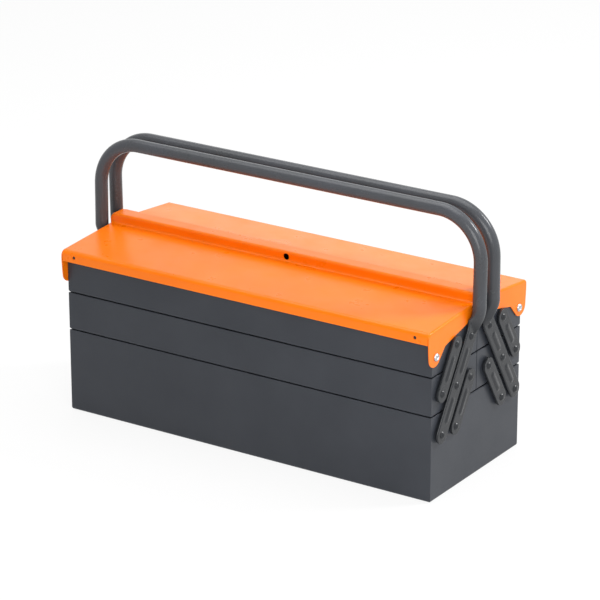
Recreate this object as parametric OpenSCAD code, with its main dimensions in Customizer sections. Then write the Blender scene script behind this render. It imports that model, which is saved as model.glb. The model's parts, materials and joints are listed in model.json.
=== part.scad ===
// Cantilever tool box: a bottom box, two pairs of trays and two lids, opened by a pair of tube handles.
// X runs along the box, Y from front to back, Z up. The origin is under the middle of the closed box.

/* [Box] */
// Length of the bottom box and of each tray
box_l = 476; // [420:1:580]
// Depth of the closed box, front to back
box_d = 186; // [170:1:230]
// Height of the bottom box
base_h = 97.4; // [80:0.1:130]
// Height of the lower tray level
tray_h = 44.7; // [38:0.1:58]
// Extra height of the upper trays over the lower ones
upper_extra = 5.1; // [4:0.1:10]
// Thickness of the sheet steel
sheet_t = 1; // [0.8:0.1:1.2]
// Outer radius of the folds along the bottom edges
fold_r = 3; // [2:0.5:5]
// Depth of the hem turned in along each rim
hem_h = 7; // [5:0.5:10]
// Gap between a tray and the rim that it rests on
seat_gap = 0.3; // [0.2:0.05:0.5]
// Gap between the front and the back tray of one level
split_gap = 1; // [0.6:0.1:2]
// Width of the relief notches in the bottom fold of the end walls
notch_w = 3; // [2:0.5:5]
// Height of the relief notches
notch_h = 1.1; // [0.8:0.1:1.4]
// Distance of the relief notches from the corners
notch_inset = 8; // [6:0.5:14]

/* [Lids] */
// How far each lid reaches past the front or back wall
lid_lip = 9.6; // [6:0.1:14]
// Gap between an end wall and the end flange of a lid
lid_gap = 0.5; // [0.4:0.1:0.6]
// Rise of each lid from its outer edge to the ridge
lid_rise = 8.4; // [5:0.1:14]
// Gap between a closed lid and the tray under it
lid_seat = 0.4; // [0.3:0.1:0.8]
// Depth of the flange along the outer edge of a lid
lip_h = 8; // [6:0.5:11]
// Inner radius of the folds of a lid
lid_fold_r = 0.8; // [0.5:0.1:1.5]
// Distance of the ridge's front face from the middle plane
ridge_front = 9.4; // [7:0.1:12]
// Distance of the ridge's back face from the middle plane
ridge_back = 11; // [9:0.1:14]
// Height of the ridge above the lids
ridge_h = 12; // [11:0.1:16]
// Radius of the ridge's top folds, on the centre of the sheet
ridge_r = 2.6; // [1.5:0.1:3]
// Gap between the ridge and the upturned edge of the back lid
ridge_gap = 1; // [0.8:0.1:2]
// Diameter of the padlock hole
lock_d = 7.5; // [5:0.1:8]
// Diameter of the small holes in the outer flange
drain_d = 4; // [2:0.1:5]
// Distance of the small holes from the ends of the lid
drain_inset = 15; // [10:0.5:30]
// Distance of the lid rivets in from the front or back wall
ear_inset = 5.7; // [4:0.1:8]
// Distance of the lid rivets below the lid's outer edge
ear_drop = 26.4; // [24:0.1:30]
// Radius of the round end of an ear
ear_r = 11.4; // [9:0.1:12]
// Turn of the edge that leads from an ear up to the end flange
ear_turn = 39; // [30:1:50]
// How far the upturned edge of the back lid stays below the top of the ridge
upstand_drop = 1.5; // [1:0.1:3]
// Width of the open seam between the outer flange and the end flanges of a lid
seam_w = 0.6; // [0.4:0.1:1]
// How far the inner walls of the upper trays stay below their highest point
inner_fall = 5.5; // [5:0.1:9]

/* [Linkage] */
// Distance of the innermost pivots from the middle plane
pivot_in = 19.5; // [18:0.1:24]
// Distance of the outermost pivots in from the front or back wall
pivot_inset = 15.5; // [14:0.1:20]
// Distance of the lowest pivots below the rim of the bottom box
pivot_drop = 23.2; // [20:0.1:30]
// How much further apart the pivot rows are than the tray levels
pivot_gain = 2; // [0:0.1:3.5]
// Width of a link
link_w = 18.6; // [16:0.1:20]
// Thickness of a link
link_t = 2.8; // [1.5:0.1:3]
// Thickness of the spacers that carry links and handles clear of the walls
spacer_t = 1.8; // [1.7:0.1:3]
// Diameter of the spacers
spacer_d = 12; // [10:0.5:14]
// Diameter of the rivet shanks
rivet_d = 5; // [4:0.1:6]
// Diameter of the rivet heads
head_d = 9; // [8:0.1:10]
// Height of the domed rivet heads
head_h = 2.5; // [1.5:0.1:3]
// Diameter of the closed heads inside the walls
tail_d = 8; // [7.5:0.1:9]
// Height of the closed heads inside the walls
tail_h = 1.2; // [0.8:0.1:2]
// Radial clearance of a shank in its holes
fit = 0.05; // [0.02:0.01:0.1]
// Play on each side of a link, handle or ear along its rivet
play = 0.05; // [0.02:0.01:0.1]
// Width of the stiffening ribs
rib_w = 7.5; // [5:0.1:9]
// Height of the stiffening ribs
rib_h = 1.1; // [0.6:0.1:1.5]
// Distance between the centres of a rib's round ends
rib_l = 22; // [12:0.5:24]

/* [Handles] */
// Diameter of the handle tube
tube_d = 15; // [14:0.1:20]
// Thickness of the tube's flattened ends
flat_t = 3; // [2.8:0.1:6]
// Width of the flattened ends
flat_w = 20.8; // [18:0.1:22]
// Length of the flat below the lowest pivot
foot_l = 9.6; // [8:0.1:10.4]
// Length of the flat beyond the top pivot
flat_past = 5.5; // [5.5:0.5:9]
// Length over which the flat becomes round
flare_l = 28; // [16:0.5:34]
// Bend radius of the handle's corners, on the tube's centre line
bend_r = 52; // [40:1:70]
// Height of the grips' centre line above the outer edge of the lids
grip_rise = 108.1; // [90:0.1:140]
// Distance of the legs from the middle plane at their foot
leg_y = 14.2; // [12:0.1:16]
// Distance of the grips from the middle plane
grip_y = 12.6; // [10.5:0.1:15]

/* [Hidden] */
$fn = 64;

BODY = "#3c3e41";
FRAME = "#505255";
LID = "#ff8208";
ZINC = "#c9ccd0";

half_l = box_l / 2;
half_d = box_d / 2;
bead_r = sheet_t;

// Levels: the floors and rims of the trays, and the outer edge of the lids
lower_z = base_h + seat_gap;
lower_rim = base_h + tray_h;
upper_z = lower_rim + seat_gap;
lid_z = lower_rim + tray_h + upper_extra;
tray_in = split_gap / 2;
tray_d = half_d - tray_in;

// Lids: the sheet rises in a straight line from the outer edge to the ridge
lid_y = half_d + lid_lip;
lid_x = half_l + lid_gap + sheet_t;
lid_slope = lid_rise / (lid_y - ridge_front);
lid_drop = sheet_t * sqrt(1 + lid_slope * lid_slope);
ridge_z = lid_z + lid_rise;
ridge_top = ridge_z + ridge_h;
upstand_y = ridge_back + ridge_gap;
lock_z = ridge_z + ridge_h / 2;
lock_edge = 1.1;
ear_y = half_d - ear_inset;
ear_z = lid_z - ear_drop;
ear_shift = [1.2, 1.1];
ear_lobe = [lid_y - ear_r - ear_shift[0], ear_z + ear_shift[1]];
flange_rest = [16.7, lid_z - 4.5];
flange_step = [25, lid_z - 9.4];
flange_root = [lid_y - 33.4, lid_z - 19.6];
flange_r = 6;
function lid_top(y) = lid_z + (lid_y - y) * lid_slope;

// Pivots: three rows, each with an inner, a middle and an outer place, so that handles and links stay parallel
pivot_out = half_d - pivot_inset;
pivot_mid = (pivot_in + pivot_out) / 2;
row_h = tray_h + pivot_gain;
row_0 = base_h - pivot_drop;
row_1 = row_0 + row_h;
row_2 = row_1 + row_h;
lean = atan((pivot_mid - pivot_in) / row_h);
link_l = norm([pivot_mid - pivot_in, row_h]);

// Layers outward from an end wall: spacer, then link or flattened handle, then rivet head
spacer_x = half_l + spacer_t;
link_x = spacer_x + play;
bore_d = rivet_d + 2 * fit;

// Ribs reach a little into the bar under them
rib_sink = 0.4;

// Handles: the round tube stands a little further out than the inner side of its flattened ends
tube_step = 1.1;
tube_r = tube_d / 2;
flat_l = 2 * link_l + flat_past;
tube_x = link_x + tube_step + tube_r;
grip_z = lid_z + grip_rise;
flat_top = [pivot_out - flat_l * sin(lean), row_0 + flat_l * cos(lean)];
leg_foot = [leg_y, flat_top[1] + flare_l];
leg_lean = atan((leg_y - grip_y) / (grip_z - leg_foot[1]));
leg_l = (grip_z - leg_foot[1]) / cos(leg_lean);
flare_steps = 10;
flare_run_out = 1.5;
flare_tip = 0.3;
elbow_step = 0.05;

// Everything is drawn for the back half and the right end. The front half and the left end are mirror images.
module to_side(front) {
    mirror([0, front ? 1 : 0, 0]) children();
}

module to_end(left) {
    mirror([left ? 1 : 0, 0, 0]) children();
}

module both_ends() {
    for (left = [false, true]) to_end(left) children();
}

// Extrusion of a YZ outline between two X values
module along_x(x0, x1) {
    translate([x0, 0, 0]) rotate([90, 0, 90]) linear_extrude(x1 - x0) children();
}

// Folded sheet as a profile ---------------------------------------------------

function unit(v) = v / norm(v);

// Arc that rounds the corner c of the path p, c, q with a radius r
function corner(p, c, q, r) =
    let(a = unit(p - c), b = unit(q - c), half = acos(a * b) / 2)
    let(centre = c + unit(a + b) * r / sin(half), start = c + a * r / tan(half) - centre)
    let(turn = (180 - 2 * half) * sign(a[1] * b[0] - a[0] * b[1]))
    [for (i = [0:6]) let(t = turn * i / 6)
        centre + [start[0] * cos(t) - start[1] * sin(t), start[0] * sin(t) + start[1] * cos(t)]];

// Path with each inner corner rounded to its own radius, or left sharp at radius 0
function rounded(path, radii) = [
    path[0],
    for (i = [1:len(path) - 2])
        each (radii[i - 1] > 0 ? corner(path[i - 1], path[i], path[i + 1], radii[i - 1]) : [path[i]]),
    path[len(path) - 1]];

// Closed outline of a sheet that is t thick and centred on a path
function heading(path, i) = unit(path[min(i + 1, len(path) - 1)] - path[max(i - 1, 0)]);
function beside(path, d) = [for (i = [0:len(path) - 1]) let(h = heading(path, i)) path[i] + d * [-h[1], h[0]]];
function reversed(path) = [for (i = [len(path) - 1:-1:0]) path[i]];
function sheet_outline(path, t) = concat(beside(path, t / 2), reversed(beside(path, -t / 2)));

// Pans ------------------------------------------------------------------------

// Upright section of a block with round bottom edges
module pan_section(w, h, r) {
    translate([-w / 2, r]) square([w, h - r]);
    translate([-w / 2 + r, 0]) square([w - 2 * r, 2 * r]);
    for (s = [-1, 1]) translate([s * (w / 2 - r), r]) circle(r);
}

module pan_block(l, d, h, r) {
    intersection() {
        along_x(-l / 2, l / 2) pan_section(d, h, r);
        rotate([90, 0, 0]) linear_extrude(d, center = true) pan_section(l, h, r);
    }
}

// Section of a closed hem: two layers of sheet joined by a round fold on top
module hem_section() {
    circle(bead_r, $fn = 32);
    translate([-bead_r, -hem_h]) square([2 * bead_r, hem_h]);
}

// Pan of folded sheet with a hem turned in all round. The rim lists the YZ points of the hem's fold line
// across an end wall, and z = 0 is under the floor. Where the rim slopes, the end hems are cut square.
module pan(l, d, rim) {
    top = max([for (p = rim) p[1]]);
    first = rim[0];
    last = rim[len(rim) - 1];
    sloped = len(rim) > 2;
    difference() {
        pan_block(l, d, top, fold_r);
        translate([0, 0, sheet_t]) pan_block(l - 2 * sheet_t, d - 2 * sheet_t, top, fold_r - sheet_t);
        if (sloped)
            along_x(-l, l) polygon(concat([[-d, first[1]]], rim, [[d, last[1]], [d, 2 * top], [-d, 2 * top]]));
    }
    for (p = [first, last]) along_x(-l / 2, l / 2) translate(p) hem_section();
    both_ends() {
        if (sloped)
            along_x(l / 2 - 2 * bead_r, l / 2)
                polygon(concat([for (p = rim) p + [0, bead_r]], reversed([for (p = rim) p - [0, hem_h]])));
        else
            translate([l / 2 - bead_r, d / 2, first[1]]) rotate([90, 0, 0]) linear_extrude(d) hem_section();
    }
}

// Rivet holes through both end walls
module wall_holes(places) {
    for (p = places, s = [-1, 1])
        translate([s * half_l, p[0], p[1]]) rotate([0, 90, 0]) cylinder(4 * sheet_t, d = bore_d, center = true);
}

// Bottom box --------------------------------------------------------------------

handle_pivots = [[pivot_out, row_0], [pivot_mid, row_1], [pivot_in, row_2]];
lower_link_pivots = [[pivot_mid, row_0], [pivot_in, row_1]];
upper_link_pivots = [[pivot_out, row_1], [pivot_mid, row_2]];
function both_halves(places) = [for (p = places, s = [-1, 1]) [s * p[0], p[1]]];

module bottom_box() {
    rim_y = half_d - bead_r;
    rim_z = base_h - bead_r;
    color(BODY) difference() {
        pan(box_l, box_d, [[-rim_y, rim_z], [rim_y, rim_z]]);
        wall_holes(both_halves([handle_pivots[0], lower_link_pivots[0]]));
        for (sx = [-1, 1], sy = [-1, 1])
            translate([sx * half_l, sy * (half_d - notch_inset), 0])
                cube([2 * fold_r, notch_w, 2 * notch_h], center = true);
    }
}

module box_spacers() {
    color(BODY) for (p = both_halves([handle_pivots[0], lower_link_pivots[0]])) both_ends() spacer(p);
}

module box_handle_rivets() {
    color(FRAME) for (p = both_halves([handle_pivots[0]])) both_ends() rivet(p, link_x + flat_t + play);
}

module box_link_rivets() {
    color(FRAME) for (p = both_halves([lower_link_pivots[0]])) both_ends() rivet(p, link_x + link_t + play);
}

// Spacers and rivets, on the right end wall -------------------------------------

module spacer(p) {
    translate([half_l, p[0], p[1]]) rotate([0, 90, 0]) difference() {
        cylinder(spacer_t, d = spacer_d);
        translate([0, 0, -1]) cylinder(spacer_t + 2, d = bore_d);
    }
}

// Rivet set through the wall, with its domed head seated at head_x and its closed head inside
module rivet(p, head_x) {
    wall_x = half_l - sheet_t;
    translate([0, p[0], p[1]]) rotate([0, 90, 0]) {
        translate([0, 0, wall_x - tail_h]) cylinder(tail_h, d = tail_d);
        translate([0, 0, wall_x - tail_h / 2]) cylinder(head_x - wall_x + tail_h, d = rivet_d);
        translate([0, 0, head_x]) rivet_dome();
    }
}

module rivet_dome() {
    ball_r = (head_d * head_d / 4 + head_h * head_h) / (2 * head_h);
    rotate_extrude() intersection() {
        translate([0, head_h - ball_r]) circle(ball_r);
        square([head_d, head_h]);
    }
}

// Trays ---------------------------------------------------------------------------

module lower_tray(front) {
    rim_y = tray_d / 2 - bead_r;
    rim_z = lower_rim - lower_z - bead_r;
    color(BODY) to_side(front) difference() {
        translate([0, tray_in + tray_d / 2, lower_z])
            pan(box_l, tray_d, [[-rim_y, rim_z], [rim_y, rim_z]]);
        wall_holes([handle_pivots[1], lower_link_pivots[1], upper_link_pivots[0]]);
    }
}

module lower_tray_spacers(front) {
    color(BODY) to_side(front)
        for (p = [handle_pivots[1], lower_link_pivots[1], upper_link_pivots[0]]) both_ends() spacer(p);
}

module lower_tray_rivets(front) {
    color(FRAME) to_side(front) both_ends() {
        rivet(handle_pivots[1], link_x + flat_t + play);
        rivet(lower_link_pivots[1], link_x + link_t + play);
        rivet(upper_link_pivots[0], link_x + link_t + play);
    }
}

// The end walls follow the lid up to the ridge and fall from there to the inner wall
module upper_tray(front) {
    mid_y = tray_in + tray_d / 2;
    rim_y = tray_d / 2 - bead_r;
    fold_z = upper_z + lid_drop + lid_seat + bead_r;
    peak_y = ridge_front + lid_seat;
    peak_z = lid_top(peak_y) - fold_z;
    color(BODY) to_side(front) difference() {
        translate([0, mid_y, upper_z])
            pan(box_l, tray_d, [[-rim_y, peak_z - inner_fall], [peak_y - mid_y, peak_z],
                [rim_y, lid_top(half_d) - fold_z]]);
        wall_holes([handle_pivots[2], upper_link_pivots[1], [ear_y, ear_z]]);
    }
}

module upper_tray_spacers(front) {
    color(BODY) to_side(front) for (p = [handle_pivots[2], upper_link_pivots[1]]) both_ends() spacer(p);
}

module upper_tray_rivets(front) {
    color(FRAME) to_side(front) both_ends() {
        rivet(handle_pivots[2], link_x + flat_t + play);
        rivet(upper_link_pivots[1], link_x + link_t + play);
    }
}

module lid_rivets(front) {
    color(ZINC) to_side(front) both_ends() rivet([ear_y, ear_z], lid_x + play);
}

// Links and handles -----------------------------------------------------------------

// Pressed rib along a bar that stands along Z, raised from the plane x = 0 towards +X
module rib() {
    ball_r = (rib_w * rib_w / 4 + rib_h * rib_h) / (2 * rib_h);
    intersection() {
        translate([rib_h - ball_r, 0, -rib_l / 2]) {
            cylinder(rib_l, r = ball_r);
            for (z = [0, rib_l]) translate([0, 0, z]) sphere(ball_r);
        }
        translate([-rib_sink, -rib_w, -rib_l]) cube([rib_w, 2 * rib_w, 2 * rib_l]);
    }
}

module link(foot, front, left) {
    color(FRAME) to_side(front) to_end(left)
        translate([link_x, foot[0], foot[1]]) rotate([lean, 0, 0]) {
            difference() {
                along_x(0, link_t) {
                    for (z = [0, link_l]) translate([0, z]) circle(d = link_w);
                    translate([-link_w / 2, 0]) square([link_w, link_l]);
                }
                for (z = [0, link_l]) pivot_bore(z);
            }
            translate([link_t, 0, link_l / 2]) rib();
        }
}

module pivot_bore(z) {
    translate([-1, 0, z]) rotate([0, 90, 0]) cylinder(flat_t + 2, d = bore_d);
}

// Flattened end of a handle tube, standing along Z with its foot pivot at the origin
module flat_bar() {
    difference() {
        intersection() {
            translate([flat_t / 2, 0, -foot_l]) linear_extrude(flat_l + foot_l) {
                for (s = [-1, 1]) translate([0, s * (flat_w - flat_t) / 2]) circle(d = flat_t);
                square([flat_t, flat_w - flat_t], center = true);
            }
            along_x(-1, flat_t + 1) translate([0, flat_w / 2 - foot_l]) {
                circle(d = flat_w);
                translate([-flat_w / 2, 0]) square([flat_w, flat_l]);
            }
        }
        for (i = [0:2]) pivot_bore(i * link_l);
    }
    for (i = [0, 1]) translate([flat_t, 0, (i + 0.5) * link_l]) rib();
}

// Flare between the flat and the round tube: a cone, cut to the thickness that it has at each height.
// Its inner side stays level with the flat, so that the whole tube stands outside the box.
module flare() {
    near_l = flat_l - 1;
    near = [link_x + flat_t / 2, pivot_out - near_l * sin(lean), row_0 + near_l * cos(lean)];
    far = [tube_x, leg_foot[0], leg_foot[1]];
    run = far - near;
    swell = tube_step + tube_d + flare_run_out - flat_t;
    outer = [for (i = [0:flare_steps]) let(t = i / flare_steps)
        [link_x + flat_t + swell * sin(90 * t), flat_top[1] + flare_l * t]];
    intersection() {
        union() {
            translate(near) rotate([0, acos(run[2] / norm(run)), atan2(run[1], run[0])])
                cylinder(norm(run), flat_w / 2, tube_r - flare_tip);
            translate(far) rotate([leg_lean, 0, 0]) sphere(tube_r + elbow_step);
        }
        rotate([90, 0, 0]) linear_extrude(4 * half_d, center = true)
            polygon(concat([[link_x, row_1], [link_x + flat_t, row_1]], outer,
                [[link_x + 2 * tube_d, leg_foot[1] + tube_d], [link_x, leg_foot[1] + tube_d]]));
    }
}

// Round part of a handle: two legs, two bends and the grip, leaning in one plane from the foot of the legs
module grip() {
    bend_x = tube_x - bend_r;
    leg = leg_l - bend_r;
    translate([0, leg_foot[0], leg_foot[1]]) rotate([leg_lean, 0, 0]) {
        both_ends() {
            translate([tube_x, 0, 0]) cylinder(leg, d = tube_d);
            translate([bend_x, 0, leg])
                rotate([90, 0, 0]) rotate_extrude(angle = 90) translate([bend_r, 0]) circle(d = tube_d);
        }
        translate([bend_x, 0, leg_l]) rotate([0, -90, 0]) cylinder(2 * bend_x, d = tube_d);
    }
}

module handle(front) {
    color(FRAME) to_side(front) {
        both_ends() {
            translate([link_x, pivot_out, row_0]) rotate([lean, 0, 0]) flat_bar();
            flare();
        }
        grip();
    }
}

// Lids ------------------------------------------------------------------------------

half_t = sheet_t / 2;
function lid_middle(y) = lid_top(y) - lid_drop / 2;
lid_bend = lid_fold_r + half_t;
lid_edge = [lid_y - half_t, lid_z - lip_h];
lid_corner = [lid_y - half_t, lid_middle(lid_y - half_t)];

// The front lid is folded up into the ridge, over the middle and down again behind it
function front_lid_path() =
    let(near = ridge_front - half_t, far = half_t - ridge_back, top = ridge_top - half_t)
    rounded([lid_edge, lid_corner, [near, lid_middle(near)], [near, top], [far, top],
        [far, lock_z - lock_d / 2 - lock_edge]], [lid_bend, lid_bend, ridge_r, ridge_r]);

// The back lid ends in an edge turned up behind the ridge
function back_lid_path() =
    let(near = upstand_y + half_t)
    rounded([lid_edge, lid_corner, [near, lid_middle(near)], [near, ridge_top - upstand_drop]],
        [lid_bend, lid_bend]);

// End flange of a lid, from its inner end out to the ear that hangs on the tray
module lid_flange(inner_y) {
    ear_side = ear_lobe - ear_r * [cos(ear_turn), sin(ear_turn)];
    outline = rounded([[inner_y, lid_middle(inner_y)], [inner_y, flange_rest[1]], flange_rest, flange_step,
        flange_root, ear_side, ear_lobe, ear_lobe + [ear_r, 0], [lid_y, lid_edge[1]],
        [lid_y, lid_middle(lid_y) - half_t]], [0, 0, flange_r, flange_r, 0, 0, 0, 0]);
    difference() {
        along_x(lid_x - sheet_t, lid_x) {
            polygon(outline);
            translate(ear_lobe) circle(ear_r);
        }
        translate([lid_x, ear_y, ear_z]) rotate([0, 90, 0]) cylinder(4 * sheet_t, d = bore_d, center = true);
    }
}

module lid(path, inner_y) {
    hole_x = lid_x - drain_inset;
    difference() {
        along_x(-lid_x, lid_x) polygon(sheet_outline(path, sheet_t));
        both_ends() {
            translate([lid_x - sheet_t - seam_w, lid_y - 3, lid_edge[1] - 1]) cube([3, 4, lip_h - 1]);
            translate([hole_x, lid_y, lid_z - lip_h / 2])
                rotate([90, 0, 0]) cylinder(4 * sheet_t, d = drain_d, center = true);
        }
        translate([0, -half_d / 2, lock_z]) rotate([-90, 0, 0]) cylinder(half_d, d = lock_d);
    }
    both_ends() lid_flange(inner_y);
}

module lid_front() {
    color(LID) to_side(true) lid(front_lid_path(), ridge_front);
}

module lid_back() {
    color(LID) to_side(false) lid(back_lid_path(), upstand_y);
}

bottom_box();
box_spacers();
box_handle_rivets();
box_link_rivets();
lower_tray(true);  // lower_tray_front
lower_tray_spacers(true);  // lower_tray_front_spacers
lower_tray_rivets(true);  // lower_tray_front_rivets
lower_tray(false);  // lower_tray_back
lower_tray_spacers(false);  // lower_tray_back_spacers
lower_tray_rivets(false);  // lower_tray_back_rivets
upper_tray(true);  // upper_tray_front
upper_tray_spacers(true);  // upper_tray_front_spacers
upper_tray_rivets(true);  // upper_tray_front_rivets
lid_rivets(true);  // lid_rivets_front
upper_tray(false);  // upper_tray_back
upper_tray_spacers(false);  // upper_tray_back_spacers
upper_tray_rivets(false);  // upper_tray_back_rivets
lid_rivets(false);  // lid_rivets_back
handle(true);  // handle_front
handle(false);  // handle_back
link(upper_link_pivots[0], true, true);  // upper_link_front_left
link(upper_link_pivots[0], true, false);  // upper_link_front_right
link(upper_link_pivots[0], false, true);  // upper_link_back_left
link(upper_link_pivots[0], false, false);  // upper_link_back_right
link(lower_link_pivots[0], true, true);  // lower_link_front_left
link(lower_link_pivots[0], true, false);  // lower_link_front_right
link(lower_link_pivots[0], false, true);  // lower_link_back_left
link(lower_link_pivots[0], false, false);  // lower_link_back_right
lid_front();
lid_back();
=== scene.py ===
# Cantilever tool box of painted sheet steel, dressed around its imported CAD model.
# Metres, Z up. The handles, lids, links and lid rivets are new surfaces on the same
# planes and centre lines as their CAD nodes. Everything else keeps its CAD mesh.

import json
import math

import bmesh
import bpy
import numpy as np
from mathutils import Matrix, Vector


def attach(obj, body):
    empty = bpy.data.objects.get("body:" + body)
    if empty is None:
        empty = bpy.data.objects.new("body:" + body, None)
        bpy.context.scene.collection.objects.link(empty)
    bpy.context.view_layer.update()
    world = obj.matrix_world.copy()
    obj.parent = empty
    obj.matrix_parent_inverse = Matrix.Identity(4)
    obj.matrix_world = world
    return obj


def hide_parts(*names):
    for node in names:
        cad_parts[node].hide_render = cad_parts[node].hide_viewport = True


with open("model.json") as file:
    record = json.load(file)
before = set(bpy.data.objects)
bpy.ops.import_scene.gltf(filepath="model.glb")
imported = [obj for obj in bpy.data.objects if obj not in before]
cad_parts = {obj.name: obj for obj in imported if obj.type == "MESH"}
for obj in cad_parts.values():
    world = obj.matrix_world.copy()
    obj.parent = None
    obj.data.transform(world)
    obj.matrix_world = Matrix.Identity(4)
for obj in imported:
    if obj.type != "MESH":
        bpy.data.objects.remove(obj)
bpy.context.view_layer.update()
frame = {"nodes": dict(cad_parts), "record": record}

sides = {"front": -1, "back": 1}
ends = {"left": -1, "right": 1}
weldGap = 2e-6  # m, points nearer than this are one point


def hexToLinear(code):
    # sRGB hex to linear light: divide by 12.92 near black, otherwise a power of 2.4
    srgb = [int(code[i:i + 2], 16) / 255 for i in (1, 3, 5)]
    return tuple(c / 12.92 if c <= 0.04045 else ((c + 0.055) / 1.055) ** 2.4
                 for c in srgb) + (1.0,)


def addNode(tree, kind, settings=None, links=None):
    # settings name a property or an input socket, links pair an input with an output
    node = tree.nodes.new(kind)
    for name, value in (settings or {}).items():
        if isinstance(name, int) or name in node.inputs:
            node.inputs[name].default_value = value
        else:
            setattr(node, name, value)
    for name, source in (links or {}).items():
        tree.links.new(source, node.inputs[name])
    return node


def newMaterial(name):
    mat = bpy.data.materials.new(name)
    mat.use_nodes = True
    mat.node_tree.nodes.clear()
    return mat, mat.node_tree


def place(name, data):
    obj = bpy.data.objects.new(name, data)
    bpy.context.collection.objects.link(obj)
    return obj


camera = {
    "place": (1.78640, -2.69613, 1.37464),
    "turn": (69.2973, 0.0742, 33.3234),  # degrees
    "lens": 187.446,  # mm
    "sensor": 36,  # mm wide
    "reach": 60,  # m
}


def makeCamera():
    data = bpy.data.cameras.new("camera")
    data.lens = camera["lens"]
    data.sensor_width = camera["sensor"]
    data.clip_end = camera["reach"]
    obj = place("camera", data)
    obj.location = camera["place"]
    obj.rotation_euler = [math.radians(a) for a in camera["turn"]]
    bpy.context.scene.camera = obj


# The strongest lamp stands high on the right and a little behind the box, so that links and
# rivet heads throw short shadows forwards and down on the end walls
studio = {
    "lamps": {  # place, aim, side in m, power in W
        "keyRight": ((1.7, 1.5, 1.9), (0.1, 0.0, 0.12), 0.7, 52),
        "softTop": ((-0.3, 0.1, 2.5), (0.0, 0.0, 0.15), 2.2, 51),
        "softFront": ((1.1, -1.3, 0.8), (0.3, 0.0, 0.12), 0.9, 17),
        "softBack": ((-1.5, 2.4, 1.15), (0.0, 0.0, 0.18), 1.4, 3),
    },
    "floorColour": "#f7f7f7",
    "floorSize": 14.0,
    "floorGlow": 0.86,  # share of plain white in what the eye and reflections see of the floor
    "skyDiffuse": 0.22,
}


def makeLamps():
    for name, (spot, aim, side, power) in studio["lamps"].items():
        data = bpy.data.lights.new(name, "AREA")
        data.size = side
        data.energy = power
        obj = place(name, data)
        obj.location = spot
        obj.rotation_euler = (Vector(aim) - Vector(spot)).to_track_quat("-Z", "Y").to_euler()


def makeFloor():
    # Matt white paper: pale all over, with the soft shadow of the box as its only mark
    half = studio["floorSize"] / 2
    corners = [(-half, -half, 0), (half, -half, 0), (half, half, 0), (-half, half, 0)]
    mesh = bpy.data.meshes.new("floor")
    mesh.from_pydata(corners, [], [(0, 1, 2, 3)])
    mat, tree = newMaterial("matt white paper")
    paper = addNode(tree, "ShaderNodeBsdfDiffuse", {"Color": hexToLinear(studio["floorColour"])})
    glow = addNode(tree, "ShaderNodeEmission", {"Color": (1, 1, 1, 1), "Strength": 1.0})
    path = addNode(tree, "ShaderNodeLightPath")
    seen = addNode(tree, "ShaderNodeMath", {"operation": "MAXIMUM"}, {
        0: path.outputs["Is Camera Ray"], 1: path.outputs["Is Glossy Ray"]})
    share = addNode(tree, "ShaderNodeMath", {
        "operation": "MULTIPLY", 1: studio["floorGlow"]}, {0: seen.outputs[0]})
    mix = addNode(tree, "ShaderNodeMixShader", links={
        0: share.outputs[0], 1: paper.outputs[0], 2: glow.outputs[0]})
    addNode(tree, "ShaderNodeOutputMaterial", links={"Surface": mix.outputs[0]})
    mesh.materials.append(mat)
    place("floor", mesh)


def makeWorld():
    world = bpy.data.worlds.new("studio")
    world.use_nodes = True
    tree = world.node_tree
    tree.nodes.clear()
    path = addNode(tree, "ShaderNodeLightPath")
    seen = addNode(tree, "ShaderNodeMath", {"operation": "MAXIMUM"}, {
        0: path.outputs["Is Camera Ray"], 1: path.outputs["Is Glossy Ray"]})
    seen = addNode(tree, "ShaderNodeMath", {"operation": "MAXIMUM"}, {
        0: seen.outputs[0], 1: path.outputs["Is Transmission Ray"]})
    plain = addNode(tree, "ShaderNodeBackground", {
        "Color": (1, 1, 1, 1), "Strength": studio["skyDiffuse"]})
    white = addNode(tree, "ShaderNodeBackground", {"Color": (1, 1, 1, 1), "Strength": 1.0})
    mix = addNode(tree, "ShaderNodeMixShader", links={
        0: seen.outputs[0], 1: plain.outputs[0], 2: white.outputs[0]})
    addNode(tree, "ShaderNodeOutputWorld", links={"Surface": mix.outputs[0]})
    bpy.context.scene.world = world


# Stoved enamel, sprayed on steel: a smooth film with a slight orange peel, so that soft
# reflections waver a little, and a tone that drifts where the film is thicker. On the steel grey,
# links, linkage rivets and flattened handle ends are painted darker than the tubes: painted shade
# below a given height, standing in for the dark surroundings that these flat parts reflect.
enamels = {
    "dark grey enamel": {"colour": "#383b41", "thick": "#34373d", "rough": (0.30, 0.40), "ior": 1.33},
    # the steel grey's last two keys are painted shade: a darker colour below the heights given,
    # fading out between them
    "steel grey enamel": {"colour": "#484a4f", "thick": "#444649", "rough": (0.22, 0.30), "ior": 1.36,
                          "paintedShade": "#26282b", "shadeFade": (0.172, 0.204)},  # z where it fades out
    "orange enamel": {"colour": "#fb7a02", "thick": "#f77500", "rough": (0.26, 0.36), "ior": 1.33},
}
film = {
    "peelSize": 5.0,  # mm from crest to crest, coarser than the real 2 mm so that it shows
    "peelDepth": 0.009,  # mm
    "driftSize": 70.0,  # mm across a patch of thicker film
    "driftSpan": (0.35, 0.65),  # part of the noise that goes from one tone to the other
    "cloudSize": 28.0,  # mm across a patch of duller film
    "cloudSpan": (0.3, 0.7),
    "nibSize": 26.0,  # mm between dust nibs
    "nibReach": 0.03,  # radius of a nib as a share of that
    "nibHeight": 0.8,  # as a share of the peel's depth
}


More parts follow.
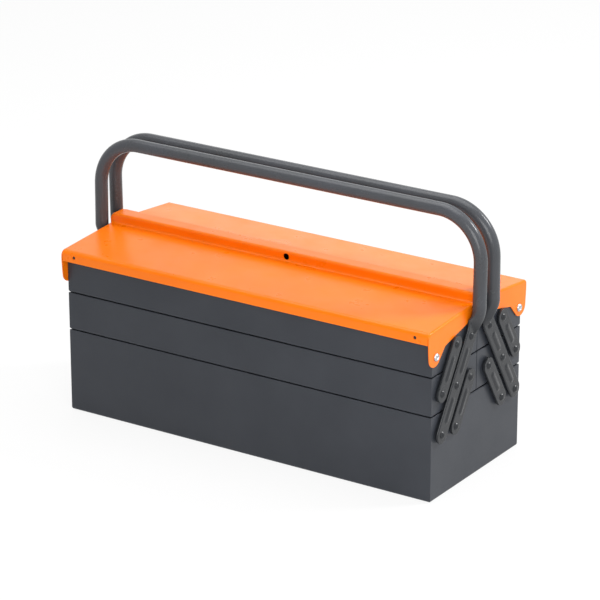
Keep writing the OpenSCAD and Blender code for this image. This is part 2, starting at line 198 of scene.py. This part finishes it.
def makeEnamel(name):
    look = enamels[name]
    mat, tree = newMaterial(name)
    coord = addNode(tree, "ShaderNodeTexCoord").outputs["Object"]

    drift = addNode(tree, "ShaderNodeTexNoise", {
        "Scale": 1000 / film["driftSize"], "Detail": 3.0, "Roughness": 0.5}, {"Vector": coord})
    level = addNode(tree, "ShaderNodeMapRange", {
        "From Min": film["driftSpan"][0], "From Max": film["driftSpan"][1]},
        {"Value": drift.outputs["Fac"]})
    colour = addNode(tree, "ShaderNodeMix", {
        "data_type": "RGBA", 6: hexToLinear(look["colour"]), 7: hexToLinear(look["thick"])},
        {0: level.outputs[0]}).outputs[2]
    # Painted shade: below a given height the colour fades to a darker one, standing in for the dark
    # surroundings that the flat parts reflect
    if "paintedShade" in look:
        height = addNode(tree, "ShaderNodeSeparateXYZ", links={"Vector": coord}).outputs["Z"]
        shadeShare = addNode(tree, "ShaderNodeMapRange", {
            "From Min": look["shadeFade"][0], "From Max": look["shadeFade"][1]}, {"Value": height})
        colour = addNode(tree, "ShaderNodeMix", {
            "data_type": "RGBA", 6: hexToLinear(look["paintedShade"])},
            {0: shadeShare.outputs[0], 7: colour}).outputs[2]

    peel = addNode(tree, "ShaderNodeTexNoise", {
        "Scale": 1000 / film["peelSize"], "Detail": 1.0, "Roughness": 0.4}, {"Vector": coord})
    nibs = addNode(tree, "ShaderNodeTexVoronoi", {
        "Scale": 1000 / film["nibSize"], "Randomness": 1.0}, {"Vector": coord})
    nib = addNode(tree, "ShaderNodeMapRange", {
        "From Max": film["nibReach"], "To Min": film["nibHeight"], "To Max": 0.0},
        {"Value": nibs.outputs["Distance"]})
    relief = addNode(tree, "ShaderNodeMath", {"operation": "ADD"}, {
        0: peel.outputs["Fac"], 1: nib.outputs[0]})
    bump = addNode(tree, "ShaderNodeBump", {"Distance": film["peelDepth"] / 1000}, {
        "Height": relief.outputs[0]})

    cloud = addNode(tree, "ShaderNodeTexNoise", {
        "Scale": 1000 / film["cloudSize"], "Detail": 4.0, "Roughness": 0.6}, {"Vector": coord})
    rough = addNode(tree, "ShaderNodeMapRange", {
        "From Min": film["cloudSpan"][0], "From Max": film["cloudSpan"][1],
        "To Min": look["rough"][0], "To Max": look["rough"][1]}, {"Value": cloud.outputs["Fac"]})
    shader = addNode(tree, "ShaderNodeBsdfPrincipled", {"IOR": look["ior"]}, {
        "Base Color": colour, "Roughness": rough.outputs[0], "Normal": bump.outputs[0]})
    addNode(tree, "ShaderNodeOutputMaterial", links={"Surface": shader.outputs[0]})
    return mat


# Bright zinc plate on the lid rivets: a soft white metal with a cloudy grain
zinc = {
    "colour": "#d3d6da", "stain": "#a9adb3", "rough": (0.22, 0.40),
    "cloudSize": 2.5,  # mm across a stain
    "cloudSpan": (0.3, 0.7),
    "grainSize": 0.5, "grainDepth": 0.004,  # mm
}


def makeZinc():
    mat, tree = newMaterial("bright zinc plate")
    coord = addNode(tree, "ShaderNodeTexCoord").outputs["Object"]
    cloud = addNode(tree, "ShaderNodeTexNoise", {
        "Scale": 1000 / zinc["cloudSize"], "Detail": 3.0}, {"Vector": coord})
    tone = addNode(tree, "ShaderNodeMix", {
        "data_type": "RGBA", 6: hexToLinear(zinc["colour"]), 7: hexToLinear(zinc["stain"])},
        {0: cloud.outputs["Fac"]})
    rough = addNode(tree, "ShaderNodeMapRange", {
        "From Min": zinc["cloudSpan"][0], "From Max": zinc["cloudSpan"][1],
        "To Min": zinc["rough"][0], "To Max": zinc["rough"][1]}, {"Value": cloud.outputs["Fac"]})
    grain = addNode(tree, "ShaderNodeTexNoise", {
        "Scale": 1000 / zinc["grainSize"], "Detail": 2.0}, {"Vector": coord})
    bump = addNode(tree, "ShaderNodeBump", {"Distance": zinc["grainDepth"] / 1000}, {
        "Height": grain.outputs["Fac"]})
    shader = addNode(tree, "ShaderNodeBsdfPrincipled", {"Metallic": 1.0}, {
        "Base Color": tone.outputs[2], "Roughness": rough.outputs[0], "Normal": bump.outputs[0]})
    addNode(tree, "ShaderNodeOutputMaterial", links={"Surface": shader.outputs[0]})
    return mat


def barOutline(a, b, r, counts):
    # Rounded rectangle of half thickness a, half width b and corner radius r, one row for each
    # station. It starts at the middle of the outer face: half a face, corner, side, corner,
    # inner face, corner, side, corner, half a face. Returns offsets along the thickness and
    # the width.
    a, b, r = [np.asarray(v, float)[:, None] for v in (a, b, r)]
    face, corner, side = [np.linspace(0, 1, counts[k], endpoint=False)[None, :]
                          for k in ("face", "corner", "side")]
    sine, cosine = r * np.sin(math.pi / 2 * corner), r * np.cos(math.pi / 2 * corner)
    c, e = a - r, b - r
    whole = np.linspace(0, 1, 2 * counts["face"], endpoint=False)[None, :]
    parts = [
        (a + 0 * face, e * face), (c + cosine, e + sine), (c * (1 - 2 * side), b + 0 * side),
        (-c - sine, e + cosine), (-a + 0 * whole, e * (1 - 2 * whole)), (-c - cosine, -e - sine),
        (c * (2 * side - 1), -b + 0 * side), (c + sine, -e - cosine), (a + 0 * face, e * (face - 1)),
    ]
    return [np.concatenate([part[i] for part in parts], 1) for i in (0, 1)]


def roundEnd(s, a, r, radius):
    # At a distance s from the tip the half width follows a circle of the end's radius, and the
    # half thickness follows the rounded edge r
    width = np.sqrt(np.clip(radius ** 2 - (radius - np.minimum(s, radius)) ** 2, 0, None))
    edge = np.sqrt(np.clip(r ** 2 - (r - np.minimum(s, r)) ** 2, 0, None))
    return a - r + edge, width


rib = {"width": 0.0084, "height": 0.0011, "length": 0.022}


def ribHeight(along, width, centre):
    # Pressed rib: (1 - q squared) to the power of 1.5, with q the distance to the rib's
    # centre line as a share of its half width
    beyond = np.maximum(np.abs(along - centre) - rib["length"] / 2, 0)
    q = np.hypot(beyond, width) / (rib["width"] / 2)
    return rib["height"] * np.clip(1 - q ** 2, 0, 1) ** 1.5


def ease(t):
    # Slow at both ends: t squared times 3 - 2 t
    t = np.clip(t, 0, 1)
    return t * t * (3 - 2 * t)


def weldMesh(name, verts, faces, closed):
    # Points that coincide are merged. A closed shell has its normals turned outwards after
    # that, and an open sheet, which already faces the right way, loses its unused points.
    mesh = bpy.data.meshes.new(name)
    mesh.from_pydata(np.concatenate(verts).tolist(), [], np.concatenate(faces).tolist())
    work = bmesh.new()
    work.from_mesh(mesh)
    bmesh.ops.remove_doubles(work, verts=work.verts, dist=weldGap)
    if closed:
        bmesh.ops.recalc_face_normals(work, faces=work.faces)
    else:
        bmesh.ops.delete(work, geom=[v for v in work.verts if not v.link_faces], context="VERTS")
    work.to_mesh(mesh)
    work.free()
    return mesh


def addPiece(name, grids, body, node, paint):
    # Each grid is a row of closed rings of points. Neighbouring rings are joined by quads, and
    # rings that shrink to a point close the ends.
    verts, faces, first = [], [], 0
    for grid in grids:
        rings, count = grid.shape[:2]
        i = first + np.arange((rings - 1) * count).reshape(-1, count)
        j = np.roll(i, -1, 1)
        verts.append(grid.reshape(-1, 3))
        faces.append(np.stack([i, j, j + count, i + count], 2).reshape(-1, 4))
        first += rings * count
    mesh = weldMesh(name, verts, faces, True)
    mesh.polygons.foreach_set("use_smooth", np.ones(len(mesh.polygons), bool))
    mesh.materials.append(paint)
    obj = place(name, mesh)
    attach(obj, body)
    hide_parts(node)


linkage = {
    "pivots": ((0.0775, 0.0742), (0.0485, 0.1209), (0.0195, 0.1676)),  # y and z
    "inner": 0.23985,  # x of the inner faces of links and handles
    "tipRings": 24,  # rings over each round end
}
lowPivot, midPivot, topPivot = [np.array(p) for p in linkage["pivots"]]
pivotGap = np.linalg.norm(midPivot - lowPivot)
upward = (midPivot - lowPivot) / pivotGap
sideways = np.array((upward[1], -upward[0]))
quarter = np.linspace(0, math.pi / 2, linkage["tipRings"])

handle = {
    "tube": 0.015, "flatThick": 0.0030, "flatWide": 0.0208,
    "foot": 0.0096, "past": 0.0030,  # how far the flat goes on past its lowest and top pivots
    "step": 0.0011,  # how far the tube stands out from the plane of the flats
    "legFoot": (0.0142, 0.2003), "grip": (0.0126, 0.3000),  # y and z of the leg's two ends
    "bend": 0.052,
    "tongue": 0.0045,  # offset of the swelling's tip from the middle of the flat
    "late": 0.45,  # share of the flare that passes before the edges begin to swell
    "spacing": 0.0008,  # between the rings of the flat
    "rings": {"flare": 44, "leg": 7, "bend": 45, "grip": 8},
    "counts": {"face": 15, "corner": 6, "side": 0},
}


def makeHandle(side, paint):
    # Carried along a path from the tip of the right foot to the middle of the grip, then
    # mirrored: flat bar, flare, leg, bend and half of the grip
    a0, b0, r1 = handle["flatThick"] / 2, handle["flatWide"] / 2, handle["tube"] / 2
    x1 = linkage["inner"] + handle["step"] + r1
    flatLength = 2 * pivotGap + handle["past"]
    flatTop = lowPivot + flatLength * upward
    legFoot, legTop = np.array(handle["legFoot"]), np.array(handle["grip"])
    legLength = np.linalg.norm(legTop - legFoot)
    leg = (legTop - legFoot) / legLength
    rings, spacing = handle["rings"], handle["spacing"]

    s = np.concatenate([b0 * (1 - np.cos(quarter)),
                        np.arange(b0 + spacing, flatLength + handle["foot"], spacing)])
    flatPath = lowPivot + (s - handle["foot"])[:, None] * upward

    # The flare follows a cubic whose ends point along the flat and along the leg
    t = np.linspace(0, 1, rings["flare"])[:, None]
    span = np.linalg.norm(legFoot - flatTop)
    flarePath = ((2 * t**3 - 3 * t**2 + 1) * flatTop + (t**3 - 2 * t**2 + t) * span * upward
                 + (3 * t**2 - 2 * t**3) * legFoot + (t**3 - t**2) * span * leg)

    # The leg, the bend and the grip lie in one leaning plane
    bend = handle["bend"]
    w = np.radians(np.linspace(0, 90, rings["bend"] + 1))[1:]
    straight = legLength - bend
    up = np.concatenate([np.linspace(0, straight, rings["leg"] + 1)[1:],
                         straight + bend * np.sin(w), np.full(rings["grip"], legLength)])
    low = len(s) + len(t) + rings["leg"]  # rings below the bend
    x = np.concatenate([np.full(low, x1), x1 - bend + bend * np.cos(w),
                        np.linspace(x1 - bend, 0, rings["grip"] + 1)[1:]])
    path = np.concatenate([flatPath, flarePath, legFoot + up[:, None] * leg])
    turn = np.concatenate([np.zeros(low), w, np.full(rings["grip"], math.pi / 2)])

    # Across each ring: square to the flat at first, square to the leaning plane in the end
    progress = np.concatenate([np.zeros(len(s)), t[:, 0], np.ones(len(up))])[:, None]
    swing = ease(progress)
    across = (1 - swing) * sideways + swing * np.array((leg[1], -leg[0]))
    across /= np.linalg.norm(across, axis=1)[:, None]
    across = np.column_stack([np.zeros(len(x)), across])
    outward = np.column_stack([np.cos(turn), np.sin(turn)[:, None] * leg])

    # Each ring is a mix of the bar's outline and the tube's circle. It swells first along the
    # leg's own line, with the sine of its progress, which leaves a V-shaped tongue on the flat.
    a, b = roundEnd(np.concatenate([s, np.ones(len(x) - len(s))]), a0, a0, b0)
    depth, width = barOutline(a, b, np.minimum(a, b), handle["counts"])
    along = ((path - lowPivot) @ upward)[:, None]
    lift = sum(ribHeight(along, width, (i + 0.5) * pivotGap) for i in (0, 1))
    depth = depth + np.where((depth > 0) & (swing == 0), lift, 0)
    edge = np.hypot(np.diff(depth[-1], append=depth[-1, 0]), np.diff(width[-1], append=width[-1, 0]))
    angle = 2 * math.pi * (np.cumsum(edge) - edge) / edge.sum()
    off = np.abs(width + handle["tongue"] * (1 - progress)) / b0
    late = handle["late"] * np.where(depth > 0, np.minimum(off, 1), 1)
    mix = np.sin(math.pi / 2 * np.clip((progress - late) / (1 - late), 0, 1))
    depth = (1 - mix) * (depth + a0 - handle["step"] - r1) + mix * r1 * np.cos(angle)
    width = (1 - mix) * width + mix * r1 * np.sin(angle)

    centre = np.column_stack([x, path])[:, None]
    grid = centre + depth[:, :, None] * outward[:, None] + width[:, :, None] * across[:, None]
    grid = np.concatenate([grid, grid[-2::-1] * (-1, 1, 1)]) * (1, sides[side], 1)
    addPiece("tube_handle_" + side, [grid], "handle_" + side, "handle_" + side, paint)


link = {
    "thick": 0.0028, "wide": 0.0186, "edge": 0.0005,
    "spacing": 0.0009, "spare": 0.0004,  # between rings, and the least gap to the far end's
    "counts": {"face": 16, "corner": 5, "side": 3},
}


def makeLink(level, side, end, paint):
    # A strip between two pivots with round ends, eased edges and one pressed rib
    radius = link["wide"] / 2
    turned = radius * (1 - np.cos(quarter))
    total = pivotGap + 2 * radius
    between = np.arange(radius + link["spacing"], total - radius - link["spare"], link["spacing"])
    s = np.concatenate([turned, between, total - turned[::-1]])
    a, b = roundEnd(np.minimum(s, total - s), link["thick"] / 2, link["edge"], radius)
    edge = np.minimum(link["edge"], np.minimum(a, b))
    depth, width = barOutline(a, b, edge, link["counts"])
    lift = ribHeight((s - radius)[:, None], width, pivotGap / 2)
    depth = depth + np.where(depth > 0, lift, 0)
    foot = np.array((midPivot[0], lowPivot[1]) if level == "lower" else (lowPivot[0], midPivot[1]))
    path = foot + (s - radius)[:, None] * upward
    yz = path[:, None] + width[:, :, None] * sideways
    x = linkage["inner"] + link["thick"] / 2 + depth
    grid = np.concatenate([x[:, :, None], yz], 2) * (ends[end], sides[side], 1)
    node = f"{level}_link_{side}_{end}"
    addPiece("strip_" + node, [grid], node, node, paint)


# Lid rivets: turned profiles, radius and x in mm, from the closed head inside the wall to
# the dished head outside the ear
rivet = {
    "profile": ((0, 235.8), (3.6, 235.8), (4.0, 236.1), (4.0, 237.0), (2.5, 237.0),
                (2.5, 239.55), (4.5, 239.55), (4.5, 239.95), (4.3, 240.6), (3.7, 241.3),
                (2.9, 241.75), (2.3, 241.85), (1.95, 241.7), (1.75, 241.2), (1.5, 240.95),
                (0, 240.9)),
    "place": (0.0873, 0.1655),  # y and z
    "points": 48,
}


def makeLidRivets(side, paint):
    # Every profile point is carried round the pivot: y and z follow a circle of its radius
    radius, x = np.array(rivet["profile"]).T / 1000
    turn = np.linspace(0, 2 * math.pi, rivet["points"], endpoint=False)
    y = rivet["place"][0] + radius[:, None] * np.cos(turn)
    z = rivet["place"][1] + radius[:, None] * np.sin(turn)
    grid = np.stack([np.broadcast_to(x[:, None], y.shape), y, z], 2)
    grids = [grid * (sign, sides[side], 1) for sign in ends.values()]
    addPiece("dished_rivets_" + side, grids, "upper_tray_" + side, "lid_rivets_" + side,
             paint)


lid = {
    "end": 0.2395, "side": 0.1026,  # outer faces of the end flanges (x) and of the lip (y)
    "lip": 0.1826, "edge": {"front": 0.1953, "back": 0.1930}, "foot": 0.2012, "top": 0.2123,  # z
    "ridge": (0.0094, -0.0110, 0.20145),  # y of its two walls, z where the second one ends
    "upstand": (0.0130, 0.2108),  # y and top of the back lid's upturned edge
    "sheet": 0.001,
    "folds": {"front": 0.0050, "back": 0.0016, "foot": 0.0030, "ridge": 0.0030,
              "end": 0.0025, "ridgeEnd": 0.0050},
    "foldSteps": 9,
    "flange": ((0.0, 0.1874), (0.0167, 0.1874), (0.0250, 0.1825), (0.0692, 0.1723)),
    "flangeFolds": (0.002, 0.006, 0.006),
    "ear": (0.0900, 0.1666, 0.0114, 39),  # y, z, radius, and where its circle starts in degrees
    "earSteps": 22,
    "lockHole": (0.2063, 0.00375), "drainHole": (0.2222, 0.1888, 0.0020),
    "rivetHole": (0.0873, 0.1655, 0.00255),
    "seamFrom": 2,  # steps up the end fold at which the lip stops, short of the end flange
    "beside": 0.0006,  # length of the straight step beside each arc
    "apart": 0.0003,  # least gap between two stations of the top
    "stations": (16, 0.98, 0.997),  # count along the flat, and how near its ends the last ones are
    "flangeRows": 7,
    "leastHang": 0.0002,
    "sharp": 32,  # degrees
}
cutter = {"segments": 42, "length": 0.03}


def foldedPath(corners, radii):
    # A line bent at each corner by an arc: from the arc's start the point moves by the radius
    # times sin of the turn along the old direction, and 1 - cos of it towards the new one. A
    # short straight step on both sides of every arc keeps the flats flat when shaded.
    corners = np.array(corners, float)
    parts = [corners[:1]]
    for before, corner, after, radius in zip(corners, corners[1:], corners[2:], radii):
        old = (corner - before) / np.linalg.norm(corner - before)
        new = (after - corner) / np.linalg.norm(after - corner)
        side = new - old * (new @ old)
        side /= np.linalg.norm(side)
        turn = math.acos(new @ old)
        w = np.linspace(0, turn, lid["foldSteps"] + 1)[:, None]
        start = corner - radius * math.tan(turn / 2) * old
        arc = start + radius * (np.sin(w) * old + (1 - np.cos(w)) * side)
        parts += [arc[:1] - lid["beside"] * old, arc, arc[-1:] + lid["beside"] * new]
    return np.concatenate(parts + [corners[-1:]])


def lidProfile(side):
    # From the bottom of the lip over the outer fold and the top to the ridge or the upturned edge
    folds = lid["folds"]
    near = lid["ridge"][0] if side == "front" else lid["upstand"][0]
    corners = [(lid["side"], lid["lip"]), (lid["side"], lid["edge"][side]), (near, lid["foot"])]
    if side == "front":
        corners += [(near, lid["top"]), (lid["ridge"][1], lid["top"]), lid["ridge"][1:]]
    else:
        corners += [lid["upstand"]]
    return foldedPath(corners, (folds[side], folds["foot"], folds["ridge"], folds["ridge"]))


def flangeOutline():
    # Lower edge of an end flange, from the inner end to the ear, round its circle and up to the lip
    earY, earZ, radius, start = lid["ear"]
    w = np.radians(np.linspace(180 + start, 360, lid["earSteps"]))
    ear = np.column_stack([earY + radius * np.cos(w), earZ + radius * np.sin(w)])
    straight = foldedPath(lid["flange"] + (tuple(ear[0]),), lid["flangeFolds"])
    return np.concatenate([straight, ear, [(lid["side"], lid["lip"])]])


def cutHoles(obj, bars):
    # Each bar is a round cutter: its middle, its axis and its radius
    work = bmesh.new()
    for middle, axis, radius in bars:
        turn = Vector(axis).to_track_quat("Z", "Y").to_matrix().to_4x4()
        turn.translation = middle
        bmesh.ops.create_cone(work, cap_ends=True, segments=cutter["segments"], radius1=radius,
                              radius2=radius, depth=cutter["length"], matrix=turn)
    mesh = bpy.data.meshes.new("bars")
    work.to_mesh(mesh)
    work.free()
    tool = place("bars", mesh)
    cut = obj.modifiers.new("holes", "BOOLEAN")
    cut.object = tool
    cut.solver = "EXACT"
    graph = bpy.context.evaluated_depsgraph_get()
    solid = bpy.data.meshes.new_from_object(obj.evaluated_get(graph))
    obj.modifiers.clear()
    obj.data = solid
    bpy.data.objects.remove(tool)


def makeLid(side, paint):
    # One sheet, folded: the profile is repeated at stations along x. Towards each end it drops
    # by R - sqrt(R^2 - d^2), with d the distance into the end fold of radius R, and the end
    # flange goes on from there.
    folds, steps = lid["folds"], lid["foldSteps"]
    profile, outline = lidProfile(side), flangeOutline()

    # The top gets a station wherever the flange's outline has a point
    flat = steps + 3  # where the top begins: one point for the lip, then the outer fold's
    flatFrom, flatTo = profile[flat], profile[flat + 1]
    inside = (outline[:, 0] < flatFrom[0] - lid["apart"]) & (outline[:, 0] > flatTo[0] + lid["apart"])
    extra = outline[inside, 0][::-1]
    share = ((flatFrom[0] - extra) / (flatFrom[0] - flatTo[0]))[:, None]
    profile = np.concatenate([profile[:flat + 1], flatFrom + share * (flatTo - flatFrom),
                              profile[flat + 1:]])
    y, z = profile.T
    last = flat + len(extra) + 1 + steps  # foot of the ridge

    # The ends of the ridge are folded with a larger radius than those of the top
    rise = np.clip((z - lid["foot"]) / folds["ridge"], 0, 1) * (np.arange(len(y)) > last - steps)
    radius = folds["end"] + (folds["ridgeEnd"] - folds["end"]) * rise
    count, reach, nearest = lid["stations"]
    level = np.concatenate([[-1, -nearest], np.linspace(-reach, reach, count), [nearest, 1]])[:, None]
    over = np.sin(np.radians(np.linspace(0, 90, steps + 1)))[1:, None]
    inner = lid["end"] - radius
    x = np.concatenate([-(inner + radius * over[::-1]), level * inner, inner + radius * over])
    into = np.clip(np.abs(x) - inner, 0, radius)
    hang = np.clip((z - lid["lip"]) / (z[2] - lid["lip"]), 0, 1)
    drop = (radius - np.sqrt(radius ** 2 - into ** 2)) * hang
    top = np.stack([x, np.broadcast_to(y, x.shape), z - drop], 2)
    grids = [(top, 1)]

    # End flanges: each column hangs from the end of the top down to the outline
    column = slice(2, last + 1)
    lower = np.interp(y[column], outline[:, 0], outline[:, 1])
    for sign, rim in ((-1, top[0, column]), (1, top[-1, column])):
        share = np.linspace(0, 1, lid["flangeRows"])[:, None, None]
        hem = np.column_stack([rim[:, :2], np.minimum(lower, rim[:, 2] - lid["leastHang"])])
        grids.append((rim + share * (hem - rim), sign))

    verts, faces, first = [], [], 0
    for grid, turn in grids:
        rows, count = grid.shape[:2]
        i = first + np.arange(rows * count).reshape(rows, count)
        quads = np.stack([i[:-1, :-1], i[:-1, 1:], i[1:, 1:], i[1:, :-1]], 2)
        if first == 0:  # the lip stops short of the end flanges
            short = steps - lid["seamFrom"]
            quads = np.concatenate([quads[:, 2:].reshape(-1, 4),
                                    quads[short:-short, :2].reshape(-1, 4)])
        quads = quads.reshape(-1, 4)
        faces.append(quads[:, ::-1] if turn * sides[side] < 0 else quads)
        verts.append(grid.reshape(-1, 3) * (1, sides[side], 1))
        first += rows * count
    name = "folded_lid_" + side
    obj = place(name, weldMesh(name, verts, faces, False))
    sheet = obj.modifiers.new("sheet", "SOLIDIFY")
    sheet.thickness = lid["sheet"]
    sheet.offset = -1
    sheet.use_even_offset = True

    lockZ, lockR = lid["lockHole"]
    drainX, drainZ, drainR = lid["drainHole"]
    rivetY, rivetZ, rivetR = lid["rivetHole"]
    bars = [((0, 0, lockZ), (0, 1, 0), lockR)]
    for end in ends.values():
        bars.append(((end * drainX, sides[side] * lid["side"], drainZ), (0, 1, 0), drainR))
        bars.append(((end * lid["end"], sides[side] * rivetY, rivetZ), (1, 0, 0), rivetR))
    cutHoles(obj, bars)
    obj.data.polygons.foreach_set("use_smooth", np.ones(len(obj.data.polygons), bool))
    obj.data.set_sharp_from_angle(angle=math.radians(lid["sharp"]))
    obj.data.materials.clear()
    obj.data.materials.append(paint)
    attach(obj, "lid_" + side)
    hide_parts("lid_" + side)


bpy.context.scene.view_settings.view_transform = "Standard"
makeCamera()
makeLamps()
makeFloor()
makeWorld()
print("camera, lamps, floor and world made")

paints = {name: makeEnamel(name) for name in enamels}
paints["bright zinc plate"] = makeZinc()
slotPaint = {
    "body_paint": "dark grey enamel",
    "frame_paint": "steel grey enamel",
    "lid_paint": "orange enamel",
    "rivet_zinc": "bright zinc plate",
}
nodeSlot = {p["node"]: p["material_slot"] for p in frame["record"]["subparts"]}
for name, obj in frame["nodes"].items():
    for spot in obj.material_slots:
        spot.material = paints[slotPaint[nodeSlot[name]]]
print("paint on", len(frame["nodes"]), "CAD nodes")

for side in sides:
    makeHandle(side, paints["steel grey enamel"])
    makeLid(side, paints["orange enamel"])
    makeLidRivets(side, paints["bright zinc plate"])
    for level in ("lower", "upper"):
        for end in ends:
            makeLink(level, side, end, paints["steel grey enamel"])
print("handles, lids, links and lid rivets made")
